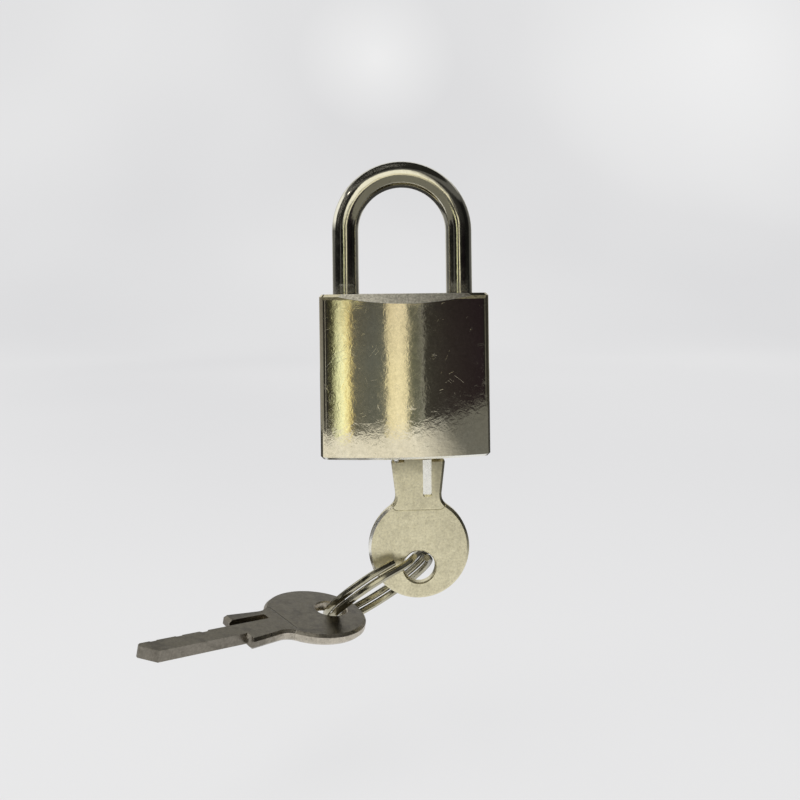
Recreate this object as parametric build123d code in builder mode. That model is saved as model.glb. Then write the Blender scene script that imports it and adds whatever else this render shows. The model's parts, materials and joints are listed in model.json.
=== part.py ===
from build123d import *
from math import cos, hypot, pi, radians, sin, sqrt
import os

# Handbag padlock, key in the lock, spare key on a split ring. Millimetres.
# The origin is the hanging point: the underside of the shackle's crown, in the middle.
# +X is to the right of someone facing the lock, +Y points away from them, +Z is up.

# Lock body: a drilled block with gently rounded front and back faces
body_width = 20.0
body_height = 19.2
side_depth = 7.4
face_bulge = 1.1
corner_radius = 1.15
rim_chamfer = 0.3
bevel_run = 0.9
bevel_drop = 1.15

# Fits between pieces, all measured on the radius or as a plain gap
running_fit = 0.05
touch_gap = 0.04
stop_gap = 0.05
end_gap = 0.15
bore_end_wall = 0.3

# Shackle, bent from round wire
shackle_wire = 3.2
shackle_spacing = 13.74
loop_height = 12.8
toe_length = 4.8
toe_clear_when_open = 0.7
leg_chamfer = 0.35
waist_radius = 1.1
heel_collar = 0.9
waist_cover = 0.8
heel_pin_radius = 0.5
heel_pin_overrun = 2.2

# Latch bolt, pushed towards the toe by its spring and drawn back by the plug's drive pin
latch_radius = 1.45
latch_length = 5.7
latch_rest_gap = 0.2
nose_height = 1.5
nose_length = 1.7
nose_chamfer = 0.45
toe_tip = 0.95
notch_play = 0.15
notch_floor_gap = 0.1
drive_offset = 0.6
drive_pin_radius = 0.6
drive_slot_gap = 0.15
drive_pocket_gap = 0.25
latch_spring_room = 3.0
latch_spring_radius = 1.0
latch_spring_wire = 0.25
latch_spring_turns = 3

# Plug, the cylinder that the key turns
plug_x = 1.65
plug_radius = 2.75
plug_proud = 0.5
plug_end_wall = 1.2
plug_groove_depth = 0.5
plug_pin_radius = 0.5
plug_pin_below_top = 1.5
plug_pin_overrun = 1.6

# Three stacks of pins, in chambers drilled in from the left side wall
pin_count = 3
pin_radius = 0.75
first_pin = 3.8
heel_floor_wall = 1.1
pin_tip_radius = 0.25
pin_tip_length = 0.4
driver_length = 2.2
pin_spring_radius = 0.54
pin_spring_wire = 0.22
wire_facets = 4
pin_spring_turns = 3
chamber_plug_length = 1.2

# Keys, stamped from sheet: b is across, to the bitted side, and a is along, to the tip
key_thickness = 1.2
key_x = 1.6
bow_radius = 6.1
rim_ease = 0.3
key_hole_radius = 1.925
key_hole_drop = 2.3
hole_ease = 0.15
neck_waist = 2.8
neck_waist_a = 6.5
neck_fillet = 1.5
shoulder = 3.3
shoulder_a = 10.65
shoulder_round = 0.4
nick_b = -2.65
nick_radius = 0.32
key_face_gap = 0.4
groove_b = 1.09
groove_width = 1.1
groove_depth = 0.5
groove_start_a = 6.15
groove_corner = 0.2
# Blade and bitting: the cuts and the lands between them are depths below the hump line
tip_beyond_pin = 1.7
blade_overlap = 1.0
blade_back = -1.7
blade_root = 1.3
blade_root_length = 0.6
blade_step = 1.05
hump = 0.85
cut_depths = (0.55, 0.42, 0.42)
land_depths = (0.3, 0.15)
tip_back_run = 1.4
tip_front_run = 0.55
tip_flat = 0.3
keyway_fit = 0.06

# Split ring: one strip wound twice round, crossing from turn to turn between its ends
ring_radius = 7.22
strip_width = 0.82
strip_height = 0.75
strip_gap = 0.12
strip_chamfer = 0.2
crossing_half_degrees = 24
# How the ring hangs in the first key's hole: off the hole's centre, then its turns in degrees
ring_off_hole = (-0.649, 0.969)
ring_turns = (-31.14, -28.79, -47.99)
# How the spare key hangs on the ring: where round the ring, off its hole's centre, its turns
spare_round_ring_degrees = -113.24
spare_off_hole = (-0.143, 0.155)
spare_turns = (0.78, 9.7, 128.63)


def unit(v):
    """A vector's direction, one long."""
    return v.normalized()


# Heights, from the hanging point down
wire_radius = shackle_wire / 2
crown_radius = shackle_spacing / 2
crown_z = wire_radius - crown_radius
top_z = -loop_height
bottom_z = top_z - body_height
heel_x, toe_x = -crown_radius, crown_radius
half_width = body_width / 2
half_side = side_depth / 2
half_depth = half_side + face_bulge

lift = toe_length + toe_clear_when_open
heel_length = heel_collar + lift + 2 * (heel_pin_radius + stop_gap) + waist_cover
heel_end_z = top_z - heel_length
waist_low_z = heel_end_z + heel_collar
heel_pin_z = waist_low_z + lift + heel_pin_radius + stop_gap
waist_high_z = heel_pin_z + heel_pin_radius + stop_gap
heel_pin_x = heel_x + waist_radius + heel_pin_radius + touch_gap
toe_end_z = top_z - toe_length

notch_height = nose_height + 2 * notch_play
latch_z = toe_end_z + toe_tip + notch_height / 2
latch_travel = 2 * drive_offset
notch_depth = latch_travel - latch_rest_gap + notch_floor_gap
latch_bore_radius = latch_radius + running_fit
latch_tip_x = toe_x - wire_radius - latch_rest_gap
latch_tail_x = latch_tip_x - latch_length
latch_bore_end_x = latch_tail_x - latch_spring_room
leg_bore_radius = wire_radius + running_fit

# The pins share the height between the plug's face and the floor of the heel's bore
plug_face_z = bottom_z - plug_proud
key_z = plug_face_z - key_face_gap - shoulder_a
chamber_radius = pin_radius + running_fit
first_pin_z = key_z + shoulder_a + first_pin
last_pin_z = heel_end_z - bore_end_wall - heel_floor_wall - chamber_radius
pin_pitch = (last_pin_z - first_pin_z) / (pin_count - 1)
pin_z = [first_pin_z + k * pin_pitch for k in range(pin_count)]
blade_length = last_pin_z + tip_beyond_pin - (key_z + shoulder_a)

keyway_depth = blade_length - key_face_gap + end_gap
plug_length = keyway_depth + plug_end_wall
plug_top_z = plug_face_z + plug_length
plug_bore_radius = plug_radius + running_fit
plug_pin_z = plug_top_z - plug_pin_below_top
plug_groove_radius = plug_radius - plug_groove_depth
plug_pin_x = plug_x + plug_groove_radius + plug_pin_radius + touch_gap

pin_tip_x = key_x + hump + touch_gap
key_pin_end_x = plug_x + sqrt(plug_radius**2 - pin_radius**2) - touch_gap
driver_face_x = plug_x - plug_radius - touch_gap
driver_tail_x = driver_face_x - driver_length
chamber_plug_x = -half_width + chamber_plug_length


def lock_outline(depth_extra=0.0):
    """The block's outline from above: flat side walls, rounded front and back faces."""
    side = half_side + depth_extra
    crest = half_depth + depth_extra
    with BuildSketch() as outline:
        with BuildLine():
            Line((half_width, -side), (half_width, side))
            ThreePointArc((half_width, side), (0, crest), (-half_width, side))
            Line((-half_width, side), (-half_width, -side))
            ThreePointArc((-half_width, -side), (0, -crest), (half_width, -side))
        make_face()
        fillet(outline.vertices(), corner_radius)
    return outline.sketch


# The block before drilling, with its softened rims and the two ground bevels on top
with BuildPart() as block:
    with BuildSketch(Plane.XY.offset(bottom_z)):
        add(lock_outline())
    extrude(amount=body_height)
    rims = block.faces().sort_by(Axis.Z)
    chamfer(rims[0].edges() + rims[-1].edges(), rim_chamfer)
    with BuildSketch(Plane.YZ.offset(-half_width)) as bevels:
        for side in (-1, 1):
            with BuildLine():
                Polyline(
                    (side * (half_depth - bevel_run), top_z),
                    (side * half_depth, top_z - bevel_drop),
                    (side * (half_depth + bevel_run), top_z - 2 * bevel_drop),
                    (side * (half_depth + bevel_run), top_z),
                    close=True,
                )
            make_face()
    extrude(amount=body_width, mode=Mode.SUBTRACT)

with BuildPart() as lock_body:
    add(block.part)
    # Bores for the shackle's two legs
    for leg_x, end_z in ((heel_x, heel_end_z), (toe_x, toe_end_z)):
        with BuildSketch(Plane.XY.offset(top_z)):
            with Locations((leg_x, 0)):
                Circle(leg_bore_radius)
        extrude(amount=-(top_z - end_z + bore_end_wall), mode=Mode.SUBTRACT)
    # Bore for the plug and the pocket in which its drive pin swings
    with BuildSketch(Plane.XY.offset(bottom_z)):
        with Locations((plug_x, 0)):
            Circle(plug_bore_radius)
    extrude(amount=plug_top_z + end_gap - bottom_z, mode=Mode.SUBTRACT)
    with BuildSketch(Plane.XY.offset(plug_top_z)):
        with Locations((plug_x, 0)):
            Circle(drive_offset + drive_pin_radius + drive_pocket_gap)
    extrude(amount=latch_z - plug_top_z, mode=Mode.SUBTRACT)
    # Cross bore for the latch, drilled in from the toe side
    with BuildSketch(Plane.YZ.offset(half_width)):
        with Locations((0, latch_z)):
            Circle(latch_bore_radius)
    extrude(amount=-(half_width - latch_bore_end_x), mode=Mode.SUBTRACT)
    # Pin chambers, drilled in from the left side wall to the plug's bore
    with BuildSketch(Plane.YZ.offset(-half_width)):
        with Locations([(0, z) for z in pin_z]):
            Circle(chamber_radius)
    extrude(amount=half_width + plug_x, mode=Mode.SUBTRACT)
    # Holes for the two retaining pins, drilled in from the back
    for hole_x, hole_z, radius, overrun in (
        (heel_pin_x, heel_pin_z, heel_pin_radius, heel_pin_overrun),
        (plug_pin_x, plug_pin_z, plug_pin_radius, plug_pin_overrun),
    ):
        with BuildSketch(Plane.XZ.offset(-half_depth)):
            with Locations((hole_x, hole_z)):
                Circle(radius)
        extrude(amount=half_depth + overrun, mode=Mode.SUBTRACT)
lock_body.part.label = "lock_body"


def retaining_pin(name, x, z, radius, overrun):
    """A plain pin pressed in from the back and dressed flush with it."""
    with BuildPart() as pin:
        with BuildSketch(Plane.XZ.offset(-half_depth)):
            with Locations((x, z)):
                Circle(radius)
        extrude(amount=half_depth + overrun)
        add(block.part, mode=Mode.INTERSECT)
    pin.part.label = name
    return pin.part


heel_retaining_pin = retaining_pin(
    "heel_retaining_pin", heel_pin_x, heel_pin_z, heel_pin_radius, heel_pin_overrun
)
plug_retaining_pin = retaining_pin(
    "plug_retaining_pin", plug_pin_x, plug_pin_z, plug_pin_radius, plug_pin_overrun
)

# Shackle: one round wire, waisted at the heel for its retaining pin, notched at the toe
with BuildPart() as shackle:
    with BuildLine() as bend:
        Line((heel_x, 0, heel_end_z), (heel_x, 0, crown_z))
        ThreePointArc(
            (heel_x, 0, crown_z), (0, 0, crown_z + crown_radius), (toe_x, 0, crown_z)
        )
        Line((toe_x, 0, crown_z), (toe_x, 0, toe_end_z))
    with BuildSketch(Plane.XY.offset(heel_end_z)):
        with Locations((heel_x, 0)):
            Circle(wire_radius)
    sweep(path=bend.wires()[0])
    ends = shackle.faces().filter_by(GeomType.PLANE)
    chamfer(ends.edges(), leg_chamfer)
    # Waist
    with BuildSketch(Plane.XY.offset(waist_low_z)):
        with Locations((heel_x, 0)):
            Circle(wire_radius + end_gap)
            Circle(waist_radius, mode=Mode.SUBTRACT)
    extrude(amount=waist_high_z - waist_low_z, mode=Mode.SUBTRACT)
    # Latch notch, on the inner side of the toe
    with BuildSketch(Plane.XZ):
        with Locations((toe_x - wire_radius, latch_z)):
            Rectangle(2 * notch_depth, notch_height)
    extrude(amount=wire_radius, both=True, mode=Mode.SUBTRACT)
shackle.part.label = "shackle"

# Latch bolt: a round slug with a flattened, chamfered nose and a slot for the drive pin
with BuildPart() as latch_bolt:
    with BuildSketch(Plane.YZ.offset(latch_tail_x)):
        with Locations((0, latch_z)):
            Circle(latch_radius)
    extrude(amount=latch_length)
    with BuildSketch(Plane.XZ):
        nose_x = latch_tip_x - nose_length
        for side in (-1, 1):
            with Locations((nose_x + nose_length / 2, latch_z + side * nose_height)):
                Rectangle(nose_length, nose_height)
        with BuildLine():
            Polyline(
                (latch_tip_x - nose_chamfer, latch_z + nose_height / 2),
                (latch_tip_x, latch_z + nose_height / 2),
                (latch_tip_x, latch_z + nose_height / 2 - nose_chamfer),
                close=True,
            )
        make_face()
    extrude(amount=latch_radius, both=True, mode=Mode.SUBTRACT)
    slot_left = plug_x - drive_offset - drive_pin_radius - drive_slot_gap
    slot_right = plug_x + drive_offset + drive_pin_radius + drive_slot_gap
    with BuildSketch(Plane.XZ):
        with Locations(((slot_left + slot_right) / 2, latch_z - latch_radius / 2)):
            Rectangle(slot_right - slot_left, latch_radius)
    extrude(amount=latch_radius, both=True, mode=Mode.SUBTRACT)
latch_bolt.part.label = "latch_bolt"

# Plug that closes the latch bore at the toe side wall
with BuildPart() as latch_bore_plug:
    latch_plug_x = toe_x + leg_bore_radius + end_gap
    with BuildSketch(Plane.YZ.offset(latch_plug_x)):
        with Locations((0, latch_z)):
            Circle(latch_bore_radius)
    extrude(amount=half_width - latch_plug_x)
latch_bore_plug.part.label = "latch_bore_plug"

# Plugs that close the pin chambers at the left side wall
chamber_plugs = []
for k, z in enumerate(pin_z):
    with BuildPart() as chamber_plug:
        with BuildSketch(Plane.YZ.offset(-half_width)):
            with Locations((0, z)):
                Circle(chamber_radius)
        extrude(amount=chamber_plug_length)
    chamber_plug.part.label = f"chamber_plug_{k + 1}"
    chamber_plugs.append(chamber_plug.part)

# Plug, turned half a turn from home, so that its key pins face right
with BuildPart() as key_plug:
    with BuildSketch(Plane.XY.offset(plug_face_z)):
        with Locations((plug_x, 0)):
            Circle(plug_radius)
    extrude(amount=plug_length)
    # Groove for the retaining pin
    with BuildSketch(Plane.XY.offset(plug_pin_z - plug_pin_radius - running_fit)):
        with Locations((plug_x, 0)):
            Circle(plug_radius + end_gap)
            Circle(plug_groove_radius, mode=Mode.SUBTRACT)
    extrude(amount=2 * (plug_pin_radius + running_fit), mode=Mode.SUBTRACT)
    # Keyway, with the ward that the key's groove slides over
    way_back = key_x + blade_back - keyway_fit
    way_front = key_x + hump + keyway_fit
    ward_back = key_x + groove_b - groove_width / 2 + keyway_fit
    half_way = key_thickness / 2 + keyway_fit
    with BuildSketch(Plane.XY.offset(plug_face_z)):
        with Locations(((way_back + way_front) / 2, 0)):
            Rectangle(way_front - way_back, 2 * half_way)
        with Locations(((ward_back + way_front) / 2, -half_way)):
            Rectangle(way_front - ward_back, 2 * groove_depth, mode=Mode.SUBTRACT)
    extrude(amount=keyway_depth, mode=Mode.SUBTRACT)
    # Wider mouth for the root of the blade
    root_front = key_x + blade_root + keyway_fit
    with BuildSketch(Plane.XY.offset(plug_face_z)):
        with Locations(((ward_back + root_front) / 2, 0)):
            Rectangle(root_front - ward_back, 2 * half_way)
    extrude(amount=first_pin - chamber_radius, mode=Mode.SUBTRACT)
    # Holes for the key pins
    with BuildSketch(Plane.YZ.offset(key_x)):
        with Locations([(0, z) for z in pin_z]):
            Circle(chamber_radius)
    extrude(amount=plug_radius, mode=Mode.SUBTRACT)
    # Seat of the drive pin
    with BuildSketch(Plane.XY.offset(plug_top_z)):
        with Locations((plug_x - drive_offset, 0)):
            Circle(drive_pin_radius)
    extrude(amount=-plug_end_wall, mode=Mode.SUBTRACT)
key_plug.part.label = "key_plug"

# Drive pin, pressed into the plug's end off its axis, reaching into the latch's slot
with BuildPart() as drive_pin:
    with BuildSketch(Plane.XY.offset(plug_top_z - plug_end_wall)):
        with Locations((plug_x - drive_offset, 0)):
            Circle(drive_pin_radius)
    extrude(amount=plug_end_wall + latch_z - end_gap - plug_top_z)
    chamfer(drive_pin.faces().sort_by(Axis.Z)[-1].edges(), end_gap)
drive_pin.part.label = "drive_pin"

# Key pins, each with a pointed tip towards the key's bitting
key_pins = []
for k, z in enumerate(pin_z):
    with BuildPart() as key_pin:
        with BuildSketch(Plane.XZ):
            with BuildLine():
                Polyline(
                    (pin_tip_x, z),
                    (pin_tip_x, z + pin_tip_radius),
                    (pin_tip_x + pin_tip_length, z + pin_radius),
                    (key_pin_end_x, z + pin_radius),
                    (key_pin_end_x, z),
                    close=True,
                )
            make_face()
        revolve(axis=Axis((0, 0, z), (1, 0, 0)))
    key_pin.part.label = f"key_pin_{k + 1}"
    key_pins.append(key_pin.part)

# Driver pins, waiting in their chambers against the plug's blank side
driver_pins = []
for k, z in enumerate(pin_z):
    with BuildPart() as driver_pin:
        with BuildSketch(Plane.YZ.offset(driver_tail_x)):
            with Locations((0, z)):
                Circle(pin_radius)
        extrude(amount=driver_length)
    driver_pin.part.label = f"driver_pin_{k + 1}"
    driver_pins.append(driver_pin.part)


def coil_points(start, radius, turns, length, steps_per_turn):
    """Points and directions along a helix about a line parallel to the X axis."""
    rise = length / (turns * 2 * pi)
    stations = []
    for step in range(turns * steps_per_turn + 1):
        angle = 2 * pi * step / steps_per_turn
        point = start + Vector(rise * angle, radius * cos(angle), radius * sin(angle))
        along = Vector(rise, -radius * sin(angle), radius * cos(angle))
        stations.append((point, unit(along)))
    return stations


def tangent_pair(start, start_way, end, end_way):
    """Two arcs that join two points smoothly, leaving and arriving in given directions."""
    gap = end - start
    both = start_way + end_way
    spread = 2 * (1 - start_way.dot(end_way))
    reach = (sqrt(gap.dot(both) ** 2 + spread * gap.dot(gap)) - gap.dot(both)) / spread
    first, last = start + start_way * reach, end - end_way * reach
    meet = (first + last) * 0.5
    TangentArc(start, meet, tangent=start_way)
    TangentArc(meet, end, tangent=last - first)


def least_gap(name, wire, turns, thickness):
    """Measures on points how near a winding comes to itself, half a turn or more apart."""
    per_turn = 96
    points = [wire @ (k / (turns * per_turn)) for k in range(turns * per_turn + 1)]
    gaps = [(q - p).length for k, p in enumerate(points) for q in points[k + per_turn // 2 :]]
    print(name, "least gap to itself", round(min(gaps) - thickness, 3))


def coil_spring(name, start_x, end_x, z, radius, wire, turns):
    """A compression spring along X: one wire, wound on pairs of arcs a quarter turn long."""
    length = end_x - start_x - wire
    stations = coil_points(Vector(start_x + wire / 2, 0, z), radius, turns, length, 4)
    with BuildPart() as spring:
        with BuildLine() as centreline:
            for (p, way), (q, next_way) in zip(stations, stations[1:]):
                tangent_pair(p, way, q, next_way)
        with BuildSketch(Plane(centreline.wires()[0] @ 0, z_dir=stations[0][1])):
            RegularPolygon(wire / 2, wire_facets)
        sweep(path=centreline.wires()[0])
    spring.part.label = name
    least_gap(name, centreline.wires()[0], turns, wire)
    return spring.part


latch_spring = coil_spring(
    "latch_spring",
    latch_bore_end_x + touch_gap,
    latch_tail_x - touch_gap,
    latch_z,
    latch_spring_radius,
    latch_spring_wire,
    latch_spring_turns,
)
pin_springs = [
    coil_spring(
        f"pin_spring_{k + 1}",
        chamber_plug_x + touch_gap,
        driver_tail_x - touch_gap,
        z,
        pin_spring_radius,
        pin_spring_wire,
        pin_spring_turns,
    )
    for k, z in enumerate(pin_z)
]


def blade_outline():
    """The blade: straight back, slanted tip, and the bitted edge with its cuts."""
    tip_a = shoulder_a + blade_length
    cuts = [shoulder_a + first_pin + k * pin_pitch for k in range(pin_count)]
    floors = [hump - depth for depth in cut_depths]
    flat = pin_tip_radius + touch_gap
    edge = [(hump, cuts[-1] + flat + cut_depths[-1])]
    for k in reversed(range(pin_count)):
        edge += [(floors[k], cuts[k] + flat), (floors[k], cuts[k] - flat)]
        if k:
            land = hump - land_depths[k - 1]
            edge.append((land, cuts[k] - flat - (land - floors[k])))
            edge.append((land, cuts[k - 1] + flat + (land - floors[k - 1])))
    Polyline(
        (blade_root, shoulder_a - blade_overlap),
        (blade_back, shoulder_a - blade_overlap),
        (blade_back, tip_a - tip_back_run),
        (0, tip_a),
        (tip_flat, tip_a),
        (hump, tip_a - tip_front_run),
        *edge,
        (blade_step, cuts[0] - flat - (blade_step - floors[0])),
        (blade_root, shoulder_a + blade_root_length),
        close=True,
    )


def cut_key(name, seat):
    """A key lying in a plane: its bow's centre at the plane's origin, its tip along the plane's y."""
    with BuildPart() as key:
        # Bow and neck, with eased rims on both faces
        with BuildSketch(seat) as plate:
            Circle(bow_radius)
            with BuildLine():
                Polyline(
                    (-neck_waist, 0),
                    (-neck_waist, neck_waist_a),
                    (-shoulder, shoulder_a),
                    (shoulder, shoulder_a),
                    (neck_waist, neck_waist_a),
                    (neck_waist, 0),
                    close=True,
                )
            make_face()
            root = [v for v in plate.vertices() if abs(hypot(v.X, v.Y) - bow_radius) < 0.001]
            fillet(root, neck_fillet)
            fillet(plate.vertices().group_by(Axis.Y)[-1], shoulder_round)
        extrude(amount=key_thickness / 2, both=True)
        flats = key.faces().filter_by(Axis(seat.origin, seat.z_dir))
        chamfer(flats.edges(), rim_ease)
        # Hole for the ring
        with BuildSketch(seat):
            with Locations((0, -key_hole_drop)):
                Circle(key_hole_radius)
        extrude(amount=key_thickness / 2, both=True, mode=Mode.SUBTRACT)
        rims = key.edges().filter_by(GeomType.CIRCLE)
        chamfer([e for e in rims if abs(e.radius - key_hole_radius) < 0.001], hole_ease)
        with BuildSketch(seat):
            with BuildLine():
                blade_outline()
            make_face()
        extrude(amount=key_thickness / 2, both=True)
        # Nick that the shoulder has beside the back of the blade
        with BuildSketch(seat):
            with Locations((nick_b, shoulder_a)):
                Circle(nick_radius)
        extrude(amount=key_thickness / 2, both=True, mode=Mode.SUBTRACT)
        # Milled groove, from the neck out past the tip
        with BuildSketch(seat.offset(key_thickness / 2)) as groove:
            groove_length = shoulder_a + blade_length - groove_start_a
            with Locations((groove_b, groove_start_a + groove_length / 2)):
                Rectangle(groove_width, groove_length)
            fillet(groove.vertices().group_by(Axis.Y)[0], groove_corner)
        extrude(amount=-groove_depth, mode=Mode.SUBTRACT)
    key.part.label = name
    return key.part


key_seat = Plane((key_x, 0, key_z), x_dir=(1, 0, 0), z_dir=(0, -1, 0))
key_in_lock = cut_key("key_in_lock", key_seat)

# The ring's own plane, its x axis pointing at the first key's hole
ring_touch = (key_x + ring_off_hole[0], 0, key_z - key_hole_drop + ring_off_hole[1])
ring_seat = Plane(Location(ring_touch, ring_turns))
ring_seat.origin = ring_seat.from_local_coords((-ring_radius, 0, 0))
turn_offset = (strip_width + strip_gap) / 2


def on_ring(degrees_round, height):
    """A point round the ring, and the way the strip runs there."""
    turn = radians(degrees_round)
    place = ring_seat.from_local_coords((ring_radius * cos(turn), ring_radius * sin(turn), height))
    ahead = ring_seat.y_dir * cos(turn) - ring_seat.x_dir * sin(turn)
    return place, ahead


def ring_turn(start, end, height):
    """Most of a turn of the ring, in two arcs."""
    stops = [start + (end - start) * part / 4 for part in range(5)]
    a, b, c, d, e = [on_ring(stop, height)[0] for stop in stops]
    ThreePointArc(a, b, c)
    ThreePointArc(c, d, e)


with BuildPart() as split_ring:
    with BuildLine() as winding:
        ring_turn(crossing_half_degrees - 360, -crossing_half_degrees, -turn_offset)
        tangent_pair(
            *on_ring(-crossing_half_degrees, -turn_offset),
            *on_ring(crossing_half_degrees, turn_offset),
        )
        ring_turn(crossing_half_degrees, 360 - crossing_half_degrees, turn_offset)
    strip_start, strip_way = on_ring(crossing_half_degrees, -turn_offset)
    with BuildSketch(Plane(strip_start, x_dir=ring_seat.z_dir, z_dir=strip_way)):
        strip = Rectangle(strip_width, strip_height)
        chamfer(strip.vertices(), strip_chamfer)
    sweep(path=winding.wires()[0])
least_gap("split_ring", winding.wires()[0], 2, strip_width)
split_ring.part.label = "split_ring"

# The spare key hangs on the ring by its own hole
spare_touch = on_ring(spare_round_ring_degrees, 0)[0]
spare_seat = Plane(Location(spare_touch, spare_turns))
spare_seat.origin = spare_seat.from_local_coords(
    (-spare_off_hole[0], key_hole_drop - spare_off_hole[1], 0)
)
spare_key = cut_key("spare_key", spare_seat)

pieces = [
    lock_body.part,
    shackle.part,
    latch_bolt.part,
    latch_bore_plug.part,
    key_plug.part,
    drive_pin.part,
    heel_retaining_pin,
    plug_retaining_pin,
    latch_spring,
    key_in_lock,
    split_ring.part,
    spare_key,
    *chamber_plugs,
    *key_pins,
    *driver_pins,
    *pin_springs,
]
os.makedirs("parts", exist_ok=True)
for piece in pieces:
    export_step(piece, f"parts/{piece.label}.step")
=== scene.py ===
import json
import math

import bmesh
import bpy
from mathutils import Matrix, Vector


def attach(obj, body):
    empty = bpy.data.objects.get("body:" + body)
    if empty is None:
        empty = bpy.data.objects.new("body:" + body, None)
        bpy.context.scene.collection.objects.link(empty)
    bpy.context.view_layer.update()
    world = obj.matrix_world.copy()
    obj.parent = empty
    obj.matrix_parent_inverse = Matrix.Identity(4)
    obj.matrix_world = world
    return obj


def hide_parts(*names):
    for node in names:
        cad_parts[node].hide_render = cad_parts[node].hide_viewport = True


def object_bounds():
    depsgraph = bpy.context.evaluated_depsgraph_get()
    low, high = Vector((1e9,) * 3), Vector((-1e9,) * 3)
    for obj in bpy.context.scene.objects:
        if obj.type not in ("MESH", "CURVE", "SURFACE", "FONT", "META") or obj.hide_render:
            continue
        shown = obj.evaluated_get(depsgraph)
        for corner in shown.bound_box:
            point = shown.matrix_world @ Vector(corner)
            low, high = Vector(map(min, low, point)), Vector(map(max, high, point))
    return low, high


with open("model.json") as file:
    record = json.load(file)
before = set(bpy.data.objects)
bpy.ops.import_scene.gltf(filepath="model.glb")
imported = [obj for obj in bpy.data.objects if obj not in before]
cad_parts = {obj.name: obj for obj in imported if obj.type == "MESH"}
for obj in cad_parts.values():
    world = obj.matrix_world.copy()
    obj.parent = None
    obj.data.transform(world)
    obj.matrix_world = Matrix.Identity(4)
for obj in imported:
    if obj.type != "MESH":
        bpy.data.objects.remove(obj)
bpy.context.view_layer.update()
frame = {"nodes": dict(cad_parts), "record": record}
scene = bpy.context.scene
MM = 0.001
MICRON = 0.000001
PHOTO = 800  # pixels along each side of the photograph
SEAT = 40.0  # mm along each side of the square map that a key's flat is laid over
SEAT_ORIGIN = (0.5, 0.25)  # where a key's origin lies on that map


class Tree:
    """A short way to build a node tree."""

    def __init__(self, tree):
        self.tree = tree

    def add(self, kind, **values):
        node = self.tree.nodes.new(kind)
        for key, value in values.items():
            setattr(node, key, value)
        return node

    def link(self, a, b):
        self.tree.links.new(a, b)

    def put(self, socket, value):
        """Puts a number, a colour or another node's output on a socket."""
        if isinstance(value, (int, float)):
            socket.default_value = value
        elif isinstance(value, tuple):
            socket.default_value = (*value, 1)
        else:
            self.link(value, socket)

    def mix(self, fac, a, b, blend="MIX"):
        node = self.add("ShaderNodeMix", data_type="RGBA", blend_type=blend)
        for socket, value in ((node.inputs[0], fac), (node.inputs[6], a), (node.inputs[7], b)):
            self.put(socket, value)
        return node.outputs[2]


class Nodes(Tree):
    """The node tree of a new material."""

    def __init__(self, name):
        self.mat = bpy.data.materials.new(name)
        self.mat.use_nodes = True
        super().__init__(self.mat.node_tree)
        self.bsdf = self.tree.nodes["Principled BSDF"]
        self.place = self.add("ShaderNodeTexCoord").outputs["Object"]

    def noise(self, scale, detail, rough, distortion=0.0, vector=None):
        node = self.add("ShaderNodeTexNoise")
        node.inputs["Scale"].default_value = scale
        node.inputs["Detail"].default_value = detail
        node.inputs["Roughness"].default_value = rough
        node.inputs["Distortion"].default_value = distortion
        self.link(vector or self.place, node.inputs["Vector"])
        return node.outputs["Fac"]

    def mapped(self, vector=None, **values):
        """The object's own coordinates, or the given ones, moved, turned or scaled."""
        node = self.add("ShaderNodeMapping")
        for key, value in values.items():
            node.inputs[key].default_value = value
        self.link(vector or self.place, node.inputs["Vector"])
        return node.outputs["Vector"]

    def split(self, vector):
        """The first two coordinates of a vector."""
        node = self.add("ShaderNodeSeparateXYZ")
        self.link(vector, node.inputs["Vector"])
        return node.outputs["X"], node.outputs["Y"]

    def uv(self, name):
        return self.add("ShaderNodeUVMap", uv_map=name).outputs["UV"]

    def geometry(self, what):
        return self.add("ShaderNodeNewGeometry").outputs[what]

    def ramp(self, fac, stops):
        node = self.add("ShaderNodeValToRGB")
        ramp = node.color_ramp
        while len(ramp.elements) < len(stops):
            ramp.elements.new(0.5)
        for element, (at, colour) in zip(ramp.elements, stops):
            element.position = at
            element.color = (*colour, 1)
        self.link(fac, node.inputs["Fac"])
        return node.outputs["Color"]

    def range(self, fac, low, high, to_low, to_high):
        node = self.add("ShaderNodeMapRange")
        node.inputs["From Min"].default_value = low
        node.inputs["From Max"].default_value = high
        node.inputs["To Min"].default_value = to_low
        node.inputs["To Max"].default_value = to_high
        self.link(fac, node.inputs["Value"])
        return node.outputs["Result"]

    def math(self, operation, a, b=None):
        node = self.add("ShaderNodeMath", operation=operation)
        for socket, value in zip(node.inputs, (a, b)):
            if value is not None:
                self.put(socket, value)
        return node.outputs[0]

    def bump(self, height, distance, strength, normal=None):
        node = self.add("ShaderNodeBump")
        node.inputs["Strength"].default_value = strength
        node.inputs["Distance"].default_value = distance
        self.link(height, node.inputs["Height"])
        if normal is not None:
            self.link(normal, node.inputs["Normal"])
        return node.outputs["Normal"]

    def finish(self, colour, roughness, normal):
        """Bare metal with this colour, roughness and relief."""
        self.bsdf.inputs["Metallic"].default_value = 1.0
        for name, value in (("Base Color", colour), ("Roughness", roughness), ("Normal", normal)):
            self.link(value, self.bsdf.inputs[name])
        return self.mat


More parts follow.
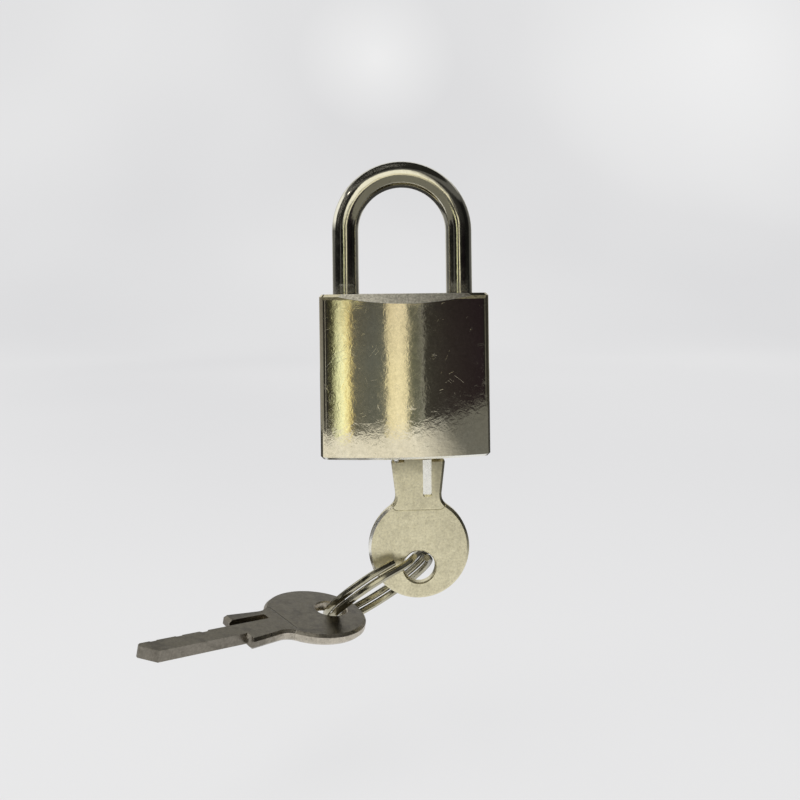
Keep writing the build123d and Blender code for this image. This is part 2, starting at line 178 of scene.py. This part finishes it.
class StageNodes(Nodes):
    """The node tree of a new stage material, which shines by itself."""

    def __init__(self, name):
        super().__init__(name)
        self.tree.nodes.remove(self.bsdf)

    def glow(self, colour):
        node = self.add("ShaderNodeEmission")
        self.put(node.inputs["Color"], colour)
        return node.outputs[0]

    def clear(self):
        return self.add("ShaderNodeBsdfTransparent").outputs[0]

    def blend(self, fac, a, b):
        """Mixes two shaders."""
        node = self.add("ShaderNodeMixShader")
        for socket, value in zip(node.inputs, (fac, a, b)):
            self.link(value, socket)
        return node.outputs[0]

    def cover(self, obj, shader):
        """Ends the tree with this shader and puts the material on an object."""
        self.link(shader, self.tree.nodes["Material Output"].inputs["Surface"])
        obj.data.materials.append(self.mat)


# Materials. Noise scales are per metre, so 1000 makes spots about 1 mm across


def hairlines(n, turns, size, sparse):
    """Sparse fine scratches in several directions over the faces that look along Y: 1 on a line.

    A line runs where a noise drawn out along it passes its middle value, and only in places.
    """
    half_line, fade = 0.006, 0.05
    total = None
    for turn, shift in turns:
        place = n.mapped(
            Location=(shift, 0.0, shift * 0.7), Rotation=(0.0, math.radians(turn), 0.0)
        )
        drawn_out = n.noise(size, 1.0, 0.4, 0.0, n.mapped(place, Scale=(0.05, 0.3, 1.0)))
        from_middle = n.math("ABSOLUTE", n.math("SUBTRACT", drawn_out, 0.5))
        line = n.range(from_middle, 0.0, half_line, 1.0, 0.0)
        patch = n.noise(620, 2, 0.5, 0.0, place)
        line = n.math("MULTIPLY", line, n.range(patch, sparse, sparse + fade, 0.0, 1.0))
        total = line if total is None else n.math("MAXIMUM", total, line)
    return total


def body_plating():
    """Polished nickel over brass: a fine crinkle, hazed in patches, with sparse hairlines."""
    n = Nodes("body_plating")
    tint = n.noise(160, 4, 0.6, 0.3)
    # Each set of hairlines has its own direction, in degrees, and its own place in the noise
    turns = ((25, 0.1), (-38, 0.3), (68, 0.5), (8, 0.8), (-72, 1.1), (48, 1.7))
    lines = hairlines(n, turns, 1700, 0.655)
    colour = n.ramp(tint, [
        (0.30, (0.86, 0.78, 0.56)),
        (0.55, (0.92, 0.84, 0.62)),
        (0.75, (0.94, 0.88, 0.68)),
    ])
    colour = n.mix(n.math("MULTIPLY", lines, 0.12), colour, (1.0, 0.97, 0.86))
    mottle = n.range(n.noise(2600, 5, 0.72, 0.4), 0.34, 0.66, 0.80, 1.12)
    colour = n.mix(0.6, colour, mottle, "MULTIPLY")
    haze = n.noise(900, 6, 0.66, 0.6)
    patch = n.noise(240, 3, 0.6, 0.4)
    rough = n.range(n.math("MULTIPLY", haze, patch), 0.18, 0.42, 0.045, 0.13)
    rough = n.math("ADD", rough, n.math("MULTIPLY", lines, 0.05))
    waves = n.bump(n.noise(110, 2, 0.45), 50 * MICRON, 0.6)
    crinkle = n.bump(n.noise(1300, 3, 0.6, 0.8), 7.8 * MICRON, 0.9, waves)
    grain = n.bump(n.noise(6000, 2, 0.5), 1.2 * MICRON, 0.9, crinkle)
    scratch = n.bump(lines, 3.5 * MICRON, 0.9, grain)
    return n.finish(colour, rough, scratch)


def body_ground():
    """The two bevels on top of the body: ground by hand, so duller and speckled."""
    n = Nodes("body_ground")
    colour = n.ramp(n.noise(3600, 4, 0.7), [
        (0.34, (0.38, 0.35, 0.28)),
        (0.50, (0.60, 0.565, 0.465)),
        (0.66, (0.80, 0.765, 0.66)),
    ])
    rough = n.range(n.noise(700, 5, 0.65, 0.5), 0.3, 0.7, 0.27, 0.40)
    along_x = n.mapped(Scale=(0.45, 1, 1))
    marks = n.bump(n.noise(1500, 4, 0.65, 0.4, along_x), 30 * MICRON, 0.6)
    fine = n.bump(n.noise(5000, 3, 0.6), 10 * MICRON, 0.7, marks)
    return n.finish(colour, rough, fine)


def wire_plating(name, colours, rough, scale=400.0):
    """Bright plated wire or strip, slightly wavy, with specks of dust."""
    n = Nodes(name)
    colour = n.ramp(n.noise(scale * 0.5, 4, 0.6), [(0.3, colours[0]), (0.7, colours[1])])
    dust = n.range(n.noise(scale * 8, 3, 0.65), 0.60, 0.68, 0.0, 0.35)
    colour = n.mix(dust, colour, tuple(c * 0.45 for c in colours[0]))
    level = n.range(n.noise(scale * 2, 5, 0.6, 0.4), 0.3, 0.7, *rough)
    wave = n.bump(n.noise(scale * 1.6, 2, 0.5), 12 * MICRON, 0.8)
    fine = n.bump(n.noise(scale * 9, 3, 0.6), 5 * MICRON, 0.8, wave)
    return n.finish(colour, level, fine)


def key_nickel(name, light, dark, grain, rough, painted_neck_shade=None):
    """Satin nickel silver, worn and speckled, with the stamped line below the key's neck, and
    painted shade on its neck.
    """
    n = Nodes(name)
    u, v = n.split(n.uv("seat"))
    across = n.math("MULTIPLY", n.math("SUBTRACT", u, SEAT_ORIGIN[0]), SEAT)
    along = n.math("MULTIPLY", n.math("SUBTRACT", v, SEAT_ORIGIN[1]), SEAT)
    cloud = n.noise(520, 6, 0.66, 0.5)
    bright = tuple(min(1.0, c * 1.08) for c in light)
    base = n.ramp(cloud, [(0.28, dark), (0.50, light), (0.74, bright)])
    blotch = n.range(n.noise(1500, 4, 0.7, 0.3), 0.54, 0.72, 0.0, 0.6)
    base = n.mix(blotch, base, dark)
    mottle = n.range(n.noise(3600, 4, 0.7), 0.36, 0.64, 0.86, 1.10)
    base = n.mix(1.0, base, mottle, "MULTIPLY")
    if painted_neck_shade:
        # Painted shade: the neck is darker, from one place along the key to another, down to a
        # share
        dim_from, dim_to, share = painted_neck_shade
        base = n.mix(1.0, base, n.range(along, dim_from, dim_to, 1.0, share), "MULTIPLY")
    # Painted shade on the neck beside the groove
    beside = n.range(across, 1.5, 2.3, 0.0, 0.5)
    painted_groove_shade = n.math("MULTIPLY", beside, n.range(along, 5.6, 6.8, 0.0, 1.0))
    base = n.mix(painted_groove_shade, base, grain)
    specks = n.range(n.noise(4600, 3, 0.65), 0.60, 0.70, 0.0, 0.4)
    colour = n.mix(specks, base, grain)
    level = n.range(n.noise(1400, 4, 0.6), 0.3, 0.7, *rough)
    # The stamped line, in mm: straight in its middle, then its ends bend towards the neck
    line_at, line_width, straight, curl, fades, ends = 4.62, 0.11, 2.6, 1.1, 3.2, 3.5
    side = n.math("ABSOLUTE", across)
    bend = n.math("MAXIMUM", n.math("SUBTRACT", side, straight), 0.0)
    bend = n.math("MULTIPLY", n.math("MULTIPLY", bend, bend), -curl)
    off = n.math("ABSOLUTE", n.math("SUBTRACT", n.math("ADD", along, bend), line_at))
    line = n.range(off, 0.0, line_width, 0.0, 1.0)
    line = n.math("MAXIMUM", line, n.range(side, fades, ends, 0.0, 1.0))
    colour = n.mix(n.range(line, 0.0, 0.8, 0.45, 0.0), colour, grain)
    stamped = n.bump(line, 50 * MICRON, 0.8)
    pits = n.bump(n.noise(1700, 5, 0.68), 30 * MICRON, 0.6, stamped)
    fine = n.bump(n.noise(5200, 2, 0.6), 10 * MICRON, 0.7, pits)
    return n.finish(colour, level, fine)


def plain_metal(name, colour, rough):
    """Turned or drawn metal, lightly varied, for pieces that hide inside."""
    n = Nodes(name)
    low = tuple(c * 0.86 for c in colour)
    shade = n.ramp(n.noise(500, 4, 0.6), [(0.3, low), (0.7, colour)])
    level = n.range(n.noise(1500, 3, 0.6), 0.3, 0.7, rough * 0.8, rough * 1.2)
    marks = n.bump(n.noise(900, 2, 0.6, 0.0, n.mapped(Scale=(1, 1, 9))), 30 * MICRON, 0.3)
    return n.finish(shade, level, marks)


materials = {
    "body_plating": body_plating(),
    "shackle_steel": wire_plating(
        "shackle_steel", ((0.68, 0.65, 0.55), (0.82, 0.79, 0.67)), (0.07, 0.15)
    ),
    "key_nickel": key_nickel(
        "key_nickel",
        light=(0.87, 0.805, 0.56),
        dark=(0.70, 0.645, 0.45),
        grain=(0.36, 0.33, 0.23),
        rough=(0.28, 0.42),
        painted_neck_shade=(8.4, 10.6, 0.55),
    ),
    "ring_steel": wire_plating(
        "ring_steel", ((0.40, 0.375, 0.28), (0.56, 0.525, 0.40)), (0.10, 0.22), 700
    ),
    "plug_brass": plain_metal("plug_brass", (0.55, 0.47, 0.29), 0.32),
    "inner_brass": plain_metal("inner_brass", (0.70, 0.58, 0.32), 0.34),
    "pin_steel": plain_metal("pin_steel", (0.60, 0.60, 0.60), 0.30),
    "spring_steel": plain_metal("spring_steel", (0.50, 0.50, 0.50), 0.30),
}
ground = body_ground()
# A brighter finish: on the groove's floor a fresh cut made brighter still as a painted highlight,
# and a painted highlight on the body's underside chamfer and the bow's upper left rim
bright_cut_and_painted_highlight = wire_plating(
    "bright_cut_and_painted_highlight", ((1.0, 0.985, 0.90), (1.0, 0.99, 0.93)), (0.18, 0.28), 900
)
# Painted light and shade: the spare key's metal in a dark copy for its flats and a lighter copy
# for its edges
spare_flat_painted_shade = key_nickel(
    "spare_key_flat_painted_shade",
    light=(0.14, 0.125, 0.088),
    dark=(0.07, 0.061, 0.045),
    grain=(0.035, 0.03, 0.024),
    rough=(0.28, 0.42),
)
spare_edge_painted_light = key_nickel(
    "spare_key_edge_painted_light",
    light=(0.60, 0.55, 0.46),
    dark=(0.34, 0.31, 0.25),
    grain=(0.14, 0.12, 0.10),
    rough=(0.26, 0.40),
    painted_neck_shade=(5.5, 9.5, 0.42),
)

slot_of = {row["node"]: row["material_slot"] for row in frame["record"]["subparts"]}
for node, obj in frame["nodes"].items():
    obj.data.materials.clear()
    obj.data.materials.append(materials[slot_of[node]])

# The pieces that show: smooth copies of the CAD's, most with eased edges
body_of = {n: b for b, names in frame["record"]["behaviour"]["bodies"].items() for n in names}
SAME_CORNER = 0.0001 * MM
SAME_FACE = math.radians(0.4)
SHARP = math.radians(32.0)


def dressed(node, name, edge=0.0):
    """A copy of a CAD piece with merged corners, smooth shading and lightly eased edges."""
    mesh = frame["nodes"][node].data.copy()
    mesh.name = name
    custom = mesh.attributes.get("custom_normal")
    if custom is not None:
        mesh.attributes.remove(custom)
    bm = bmesh.new()
    bm.from_mesh(mesh)
    bmesh.ops.remove_doubles(bm, verts=bm.verts, dist=SAME_CORNER)
    bmesh.ops.dissolve_limit(bm, angle_limit=SAME_FACE, verts=bm.verts, edges=bm.edges)
    bm.to_mesh(mesh)
    bm.free()
    obj = bpy.data.objects.new(name, mesh)
    scene.collection.objects.link(obj)
    for poly in mesh.polygons:
        poly.use_smooth = True
    mesh.set_sharp_from_angle(angle=SHARP)
    if edge:
        bevel = obj.modifiers.new("eased", "BEVEL")
        bevel.width = edge
        bevel.segments = 2
        bevel.limit_method = "ANGLE"
        bevel.angle_limit = SHARP
        bevel.harden_normals = True
    mesh.materials.clear()
    mesh.materials.append(materials[slot_of[node]])
    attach(obj, body_of[node])
    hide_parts(node)
    return obj


def true_normals(obj):
    """Gives the body's rounded faces and corners the exact direction at each mesh corner."""
    mesh = obj.data
    # The CAD body's own sizes: its front and back bulge, and its upright corners are round
    half_width, half_depth, bulge, corner = 10.0 * MM, 4.8 * MM, 1.1 * MM, 1.15 * MM
    tolerance = 0.01 * MM
    big = (half_width**2 + bulge**2) / (2 * bulge)
    centre_y = big - half_depth
    corner_x = half_width - corner
    corner_y = math.sqrt((big - corner) ** 2 - corner_x**2) - centre_y
    normals = [Vector(n.vector) for n in mesh.corner_normals]
    for poly in mesh.polygons:
        if abs(poly.normal.z) > 0.02:
            continue  # not upright
        points = [mesh.vertices[v].co for v in poly.vertices]
        shift = math.copysign(centre_y, poly.normal.y)
        on_face = all(abs(math.hypot(p.x, p.y + shift) - big) < tolerance for p in points)
        from_centre = [(abs(p.x) - corner_x, abs(p.y) - corner_y) for p in points]
        on_corner = all(abs(math.hypot(x, y) - corner) < tolerance for x, y in from_centre)
        if abs(poly.normal.y) > 0.9 and on_face:
            for loop, p in zip(poly.loop_indices, points):
                normals[loop] = Vector((p.x, p.y + shift, 0)).normalized()
        elif abs(poly.normal.y) > 0.05 and on_corner:
            for loop, p, (x, y) in zip(poly.loop_indices, points, from_centre):
                way = Vector((x, y, 0)).normalized()
                normals[loop] = Vector((math.copysign(way.x, p.x), math.copysign(way.y, p.y), 0))
    mesh.normals_split_custom_set([n[:] for n in normals])


def seat_map(obj, origin, across, along):
    """Lays a key's flat over the square map that its material reads."""
    layer = obj.data.uv_layers.new(name="seat")
    size = SEAT * MM
    u, v = SEAT_ORIGIN
    for loop in obj.data.loops:
        d = obj.data.vertices[loop.vertex_index].co - origin
        layer.data[loop.index].uv = (u + d.dot(across) / size, v + d.dot(along) / size)


def second_finish(obj, material, chosen):
    """Gives the faces that the test picks, by centre and direction, a finish of their own."""
    obj.data.materials.append(material)
    for poly in obj.data.polygons:
        if chosen(poly.center, poly.normal):
            poly.material_index = len(obj.data.materials) - 1


EASED, EASED_PLUG = 0.08 * MM, 0.04 * MM
body_look = dressed("lock_body", "lock_body_look")
dressed("shackle", "shackle_look")
key_look = dressed("key_in_lock", "key_in_lock_look", EASED)
spare_look = dressed("spare_key", "spare_key_look", EASED)
dressed("split_ring", "split_ring_look", EASED)
dressed("key_plug", "key_plug_look", EASED_PLUG)

# The body's bevels are ground, and the chamfer round its underside gets a painted highlight
true_normals(body_look)
second_finish(body_look, ground, lambda at, way: 0.5 < way.z < 0.68 and abs(way.y) > 0.7)
second_finish(body_look, bright_cut_and_painted_highlight, lambda at, way: -0.9 < way.z < -0.5)


def in_groove(at, way):
    """The floor of the groove in the key's front."""
    return way.y < -0.9 and -0.3 * MM < at.y < 0.2 * MM


def painted_highlight_rim(at, way):
    """The chamfered front edge of the bow, on its upper left, which gets a painted highlight."""
    return -0.9 < way.y < -0.4 and at.x < 0 and -46.0 * MM < at.z < -38.5 * MM


key_origin = Vector((1.6, 0, -43.55)) * MM
seat_map(key_look, key_origin, Vector((1, 0, 0)), Vector((0, 0, 1)))
# Painted highlight on the groove's floor and on the bow's upper left rim
second_finish(key_look, bright_cut_and_painted_highlight, in_groove)
second_finish(key_look, bright_cut_and_painted_highlight, painted_highlight_rim)

# Painted shade: the spare key has dark flats and lighter edges, both darker than the first key
spare_origin = Vector((-11.0145, -1.534, -50.983)) * MM
spare_turn = Matrix.Rotation(math.radians(0.78), 3, "X")
spare_turn = spare_turn @ Matrix.Rotation(math.radians(9.7), 3, "Y")
spare_turn = spare_turn @ Matrix.Rotation(math.radians(128.63), 3, "Z")
spare_across, spare_along, spare_up = (
    spare_turn @ Vector(v) for v in ((1, 0, 0), (0, 1, 0), (0, 0, 1))
)
seat_map(spare_look, spare_origin, spare_across, spare_along)
spare_look.data.materials.clear()
spare_look.data.materials.append(spare_edge_painted_light)
second_finish(spare_look, spare_flat_painted_shade, lambda at, way: abs(way.dot(spare_up)) > 0.8)

# Stage: the lock hangs, and the floor lies just below the key when it is drawn out. The walls
# that the metal mirrors stand higher, on the level of the part's lowest point at rest
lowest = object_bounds()[0].z
joints = frame["record"]["behaviour"]["joints"]
key_travel = next(j["range_m"][1] for j in joints if j["name"] == "key_withdraw")
floor_z = lowest - key_travel - 0.3 * MM
wall_foot = lowest - 0.2 * MM


def stage_mesh(name, verts, faces):
    """A smooth-shaded mesh that belongs to the stage, not to the part."""
    mesh = bpy.data.meshes.new(name)
    mesh.from_pydata(verts, [], faces)
    obj = bpy.data.objects.new(name, mesh)
    scene.collection.objects.link(obj)
    for poly in mesh.polygons:
        poly.use_smooth = True
    return obj


def level_card(name, across, depth, z, faces_up=True):
    """A level rectangle, in mm: from one x to another, from one y to another, at a height."""
    (x0, x1), (y0, y1) = across, depth
    corners = [(x0, y0, z), (x1, y0, z), (x1, y1, z), (x0, y1, z)]
    verts = [tuple(value * MM for value in corner) for corner in corners]
    return stage_mesh(name, verts, [(0, 1, 2, 3) if faces_up else (3, 2, 1, 0)])


def mirrored_only(obj):
    """A panel of the studio that shows in polished metal and nowhere else."""
    obj.visible_camera = False
    obj.visible_diffuse = False
    obj.visible_shadow = False


def grey(v):
    """A grey that leans slightly to yellow."""
    return (v, v, v * 0.97)


def paper(obj):
    """Matt pale paper, whose brightness is mostly set, so that it is even behind the object."""
    n = StageNodes("paper")
    diffuse = n.add("ShaderNodeBsdfDiffuse")
    n.put(diffuse.inputs["Color"], (0.77, 0.77, 0.775))
    place = n.geometry("Position")
    cloud = n.range(n.noise(2.2, 2, 0.4, 0.0, place), 0.35, 0.65, 0.0, 1.0)
    tone = n.mix(cloud, (0.75, 0.75, 0.76), (0.82, 0.82, 0.825))
    # Painted light: two faint pools of light that glow on the paper
    # Two faint bright places on the upper part, as the photograph has: where, how wide, how strong
    painted_light_pools = (((0.027, 0.985, 0.30), 0.11, 0.8), ((0.52, 0.985, 0.32), 0.30, 0.85))
    for spot, reach, strength in painted_light_pools:
        far = n.add("ShaderNodeVectorMath", operation="DISTANCE")
        n.link(place, far.inputs[0])
        far.inputs[1].default_value = spot
        near = n.range(far.outputs["Value"], 0.0, reach, strength, 0.0)
        tone = n.mix(near, tone, (0.93, 0.93, 0.93))
    path = n.add("ShaderNodeLightPath").outputs
    seen = n.math("MAXIMUM", path["Is Camera Ray"], path["Is Glossy Ray"])
    set_share = 0.90  # of what the camera and the metal see; the rest is lit and keeps shadows
    n.cover(obj, n.blend(n.math("MULTIPLY", seen, set_share), diffuse.outputs[0], n.glow(tone)))


# One sheet: a flat floor that rises behind in a wide curve
back_y, rise_r, top_z, rise_steps = 0.55, 0.45, 1.2, 24
half_x, front_y = 2.4, -0.6
profile = [(front_y, floor_z), (back_y, floor_z)]
for step in range(1, rise_steps + 1):
    a = math.radians(90 * step / rise_steps)
    profile.append((back_y + rise_r * math.sin(a), floor_z + rise_r * (1 - math.cos(a))))
profile.append((back_y + rise_r, floor_z + top_z))
verts = [(x, y, z) for y, z in profile for x in (-half_x, half_x)]
faces = [(2 * i, 2 * i + 1, 2 * i + 3, 2 * i + 2) for i in range(len(profile) - 1)]
paper(stage_mesh("paper_sheet", verts, faces))

# The room: even light, dark where only polished metal looks, and pale for the camera
world = bpy.data.worlds.new("room")
scene.world = world
world.use_nodes = True
room = Tree(world.node_tree)
background = world.node_tree.nodes["Background"]
background.inputs["Strength"].default_value = 0.75
path = room.add("ShaderNodeLightPath").outputs
in_metal = room.mix(path["Is Glossy Ray"], (0.75, 0.75, 0.76), (0.16, 0.16, 0.155))
in_view = room.mix(path["Is Camera Ray"], in_metal, (1.05, 1.05, 1.055))
room.link(in_view, background.inputs["Color"])

# Walls that only metal mirrors. An azimuth is in degrees: 0 in front, + to the right.
# How far the walls stand from the lock, in metres
radii = [
    (-150, 0.16), (-25, 0.146), (-4, 0.149), (9, 0.153), (28, 0.192), (34, 0.209), (150, 0.21),
]
wall_top = 0.116
# Heights in mm, from and to, between which a wall passes from one tone to the next
dims, to_middle, to_high, to_edge = (-38, -20), (-15, -12), (8, 28), (98, 114)


def wall_radius(azimuth):
    """How far the wall stands in each direction, straight between the given places."""
    for (a, r), (b, q) in zip(radii, radii[1:]):
        if a <= azimuth <= b:
            return r + (q - r) * (azimuth - a) / (b - a)


def wall(name, start, end, low, middle, high):
    """Upright curved panel: its tones by azimuth beside the body, beside the shackle and above."""
    count = end - start
    verts = []
    for azimuth in range(start, end + 1):
        a, r = math.radians(azimuth), wall_radius(azimuth)
        for z in (wall_foot, wall_top):
            verts.append((r * math.sin(a), -r * math.cos(a), z))
    faces = [(2 * i, 2 * i + 1, 2 * i + 3, 2 * i + 2) for i in range(count)]
    obj = stage_mesh(name, verts, faces)
    layer = obj.data.uv_layers.new(name="turn")
    for loop in obj.data.loops:
        i, top = divmod(loop.vertex_index, 2)
        layer.data[loop.index].uv = (i / count, top)
    n = StageNodes(name)
    u, v = n.split(n.uv("turn"))
    height = n.range(v, 0.0, 1.0, wall_foot / MM, wall_top / MM)
    rows = [n.ramp(u, [((at - start) / count, c) for at, c in row]) for row in (low, middle, high)]
    tone = n.mix(n.range(height, *dims, 0.0, 1.0), rows[0], (0.84, 0.82, 0.84), "MULTIPLY")
    tone = n.mix(n.range(height, *to_middle, 0.0, 1.0), tone, rows[1])
    tone = n.mix(n.range(height, *to_high, 0.0, 1.0), tone, rows[2])
    tone = n.mix(n.range(height, *to_edge, 0.0, 1.0), tone, (0.10, 0.10, 0.10))
    n.cover(obj, n.glow(tone))
    mirrored_only(obj)


front_stops = [
    (-60, grey(0.02)),
    (-53, grey(0.02)),
    (-51, grey(0.36)),
    (-47, grey(0.34)),
    (-45, grey(0.03)),
    (-28, grey(0.03)),
    (-25.2, (0.07, 0.07, 0.04)),
    (-24.2, (0.60, 0.64, 0.42)),
    (-22, (1.03, 1.09, 0.79)),
    (-20, (1.00, 0.95, 0.55)),
    (-18.4, (0.60, 0.50, 0.24)),
    (-17.6, (0.14, 0.14, 0.12)),
    (-10, (0.12, 0.13, 0.13)),
    (-4.8, (0.15, 0.16, 0.15)),
    (-3.6, (0.80, 0.75, 0.55)),
    (0, (0.95, 0.90, 0.70)),
    (3.6, (0.86, 0.81, 0.62)),
    (4.8, (0.16, 0.17, 0.14)),
    (8.9, (0.11, 0.12, 0.11)),
    (9.4, (0.30, 0.31, 0.30)),
    (10.1, (0.24, 0.25, 0.25)),
    (10.8, grey(0.045)),
    (20, (0.030, 0.026, 0.028)),
    (34.5, (0.020, 0.014, 0.020)),
    (60, grey(0.015)),
]


def beside_shackle(at, colour):
    """The front wall's stop turned to where the shackle mirrors it, with more contrast."""
    strength = 0.3 if max(colour) < 0.4 else 1.1
    return (at + 5 if abs(at) < 55 else at, tuple(v * strength for v in colour))


wall("front_wall", -60, 60, front_stops, [beside_shackle(*stop) for stop in front_stops], [
    (-60, grey(0.015)),
    (-29, grey(0.02)),
    (-26, (1.15, 1.13, 1.0)),
    (7, (1.10, 1.08, 0.95)),
    (12, (0.55, 0.53, 0.46)),
    (18, grey(0.04)),
    (60, grey(0.015)),
])
left_stops = [
    (-150, grey(0.12)),
    (-144, grey(0.42)),
    (-136, grey(0.18)),
    (-125, grey(0.13)),
    (-104, grey(0.10)),
    (-98, grey(0.02)),
    (-88, grey(0.01)),
    (-60, grey(0.008)),
]
right_stops = [(-at, colour) for at, colour in reversed(left_stops)]
wall("left_wall", -150, -60, [
    (-150, grey(0.12)),
    (-142, grey(0.30)),
    (-120, grey(0.25)),
    (-80, grey(0.22)),
    (-75, grey(0.05)),
    (-60, grey(0.02)),
], left_stops, [
    (-150, grey(0.12)),
    (-144, grey(1.0)),
    (-98, grey(1.2)),
    (-93, grey(0.04)),
    (-60, grey(0.015)),
])
wall("right_wall", 60, 150, [
    (60, grey(0.015)),
    (66, grey(0.12)),
    (73, grey(0.10)),
    (77, grey(0.03)),
    (129, grey(0.04)),
    (135, grey(0.30)),
    (144, grey(0.34)),
    (150, grey(0.12)),
], right_stops, right_stops)

# Dark ceiling: a dome from its foot, in degrees above the horizon, up to the top
dome_r, dome_foot, rings, around = 0.30, 46, 8, 48
verts = []
for k in range(rings + 1):
    e = math.radians(dome_foot + (90 - dome_foot) * k / rings)
    ring_r, ring_z = dome_r * math.cos(e), dome_r * math.sin(e)
    for j in range(around):
        a = 2 * math.pi * j / around
        verts.append((ring_r * math.cos(a), ring_r * math.sin(a), ring_z))
faces = []
for k in range(rings):
    lower, upper = k * around, (k + 1) * around
    for j in range(around):
        following = (j + 1) % around
        faces.append((lower + j, lower + following, upper + following, upper + j))
ceiling = stage_mesh("ceiling", verts, faces)
n = StageNodes("ceiling")
n.cover(ceiling, n.glow((0.020, 0.020, 0.018)))
mirrored_only(ceiling)

# What polished metal sees on the floor: clear in front and left, dim to the right and behind
span = (-300, 300)
floor_shade = level_card("floor_shade", span, span, wall_foot / MM + 0.05)
n = StageNodes("floor_shade")
x, y = n.split(n.geometry("Position"))
to_right = n.range(x, 15 * MM, 55 * MM, 0.0, 1.0)
behind = n.range(y, 8 * MM, 22 * MM, 0.0, 1.0)
dim = n.glow(n.mix(behind, (0.15, 0.155, 0.16), (0.05, 0.05, 0.05)))
n.cover(floor_shade, n.blend(n.math("MAXIMUM", to_right, behind), n.clear(), dim))
mirrored_only(floor_shade)


def one_sided(obj, n, colour):
    """Finishes a card that shines from its front and lets through what looks at its back."""
    n.cover(obj, n.blend(n.geometry("Backfacing"), n.glow(colour), n.clear()))
    mirrored_only(obj)


# A flag that keeps the floor in front out of the shackle's crown; from below it isn't there
flag = level_card("crown_flag", (-60, 60), (-75, -5.2), -13.5)
one_sided(flag, StageNodes("crown_flag"), (0.19, 0.185, 0.155))

# A card over each bevel of the body, which shines down only: bright to the left, dark to the right
card_x = 12
for card_name, depth in (("bevel_card_front", (-7.2, -3.0)), ("bevel_card_back", (3.0, 7.2))):
    card = level_card(card_name, (-card_x, card_x), depth, -11.6, faces_up=False)
    n = StageNodes(card_name)
    x, _ = n.split(n.geometry("Position"))
    shine = n.ramp(n.range(x, -card_x * MM, card_x * MM, 0.0, 1.0), [
        (0.0, grey(0.70)),
        (0.25, grey(0.50)),
        (0.5, grey(0.26)),
        (0.75, grey(0.05)),
        (1.0, grey(0.0)),
    ])
    one_sided(card, n, shine)


def soft_light(name, place, aim, size, power, colour):
    """A round lamp, turned to the point it aims at."""
    data = bpy.data.lights.new(name, "AREA")
    data.shape = "DISK"
    data.size = size
    data.energy = power
    data.color = colour
    obj = bpy.data.objects.new(name, data)
    scene.collection.objects.link(obj)
    obj.location = place
    obj.rotation_euler = (Vector(aim) - Vector(place)).to_track_quat("-Z", "Y").to_euler()


soft_light("top_soft", (-0.13, -0.03, 0.46), (0, 0, -0.02), 0.32, 1.1, (1.0, 0.985, 0.96))
soft_light("left_soft", (-0.475, -0.15, 0.25), (0, 0, -0.03), 0.26, 0.8, (1.0, 0.97, 0.92))

# Camera, where the photograph was taken from: level, with its frame shifted down
yaw, roll = math.radians(3.2), math.radians(0.7)
camera_place = Vector((-5.735, -96.891, -11.796)) * MM
camera_data = bpy.data.cameras.new("camera")
camera_data.sensor_width = 36
camera_data.lens = 36
camera_data.shift_y = -115 / PHOTO
camera_data.clip_start = 0.005
camera_data.clip_end = 10
camera = bpy.data.objects.new("camera", camera_data)
scene.collection.objects.link(camera)
level = Matrix.Rotation(math.radians(90), 4, "X")
pose = Matrix.Rotation(-yaw, 4, "Z") @ level @ Matrix.Rotation(-roll, 4, "Z")
camera.matrix_world = Matrix.Translation(camera_place) @ pose
scene.camera = camera

scene.view_settings.view_transform = "Standard"
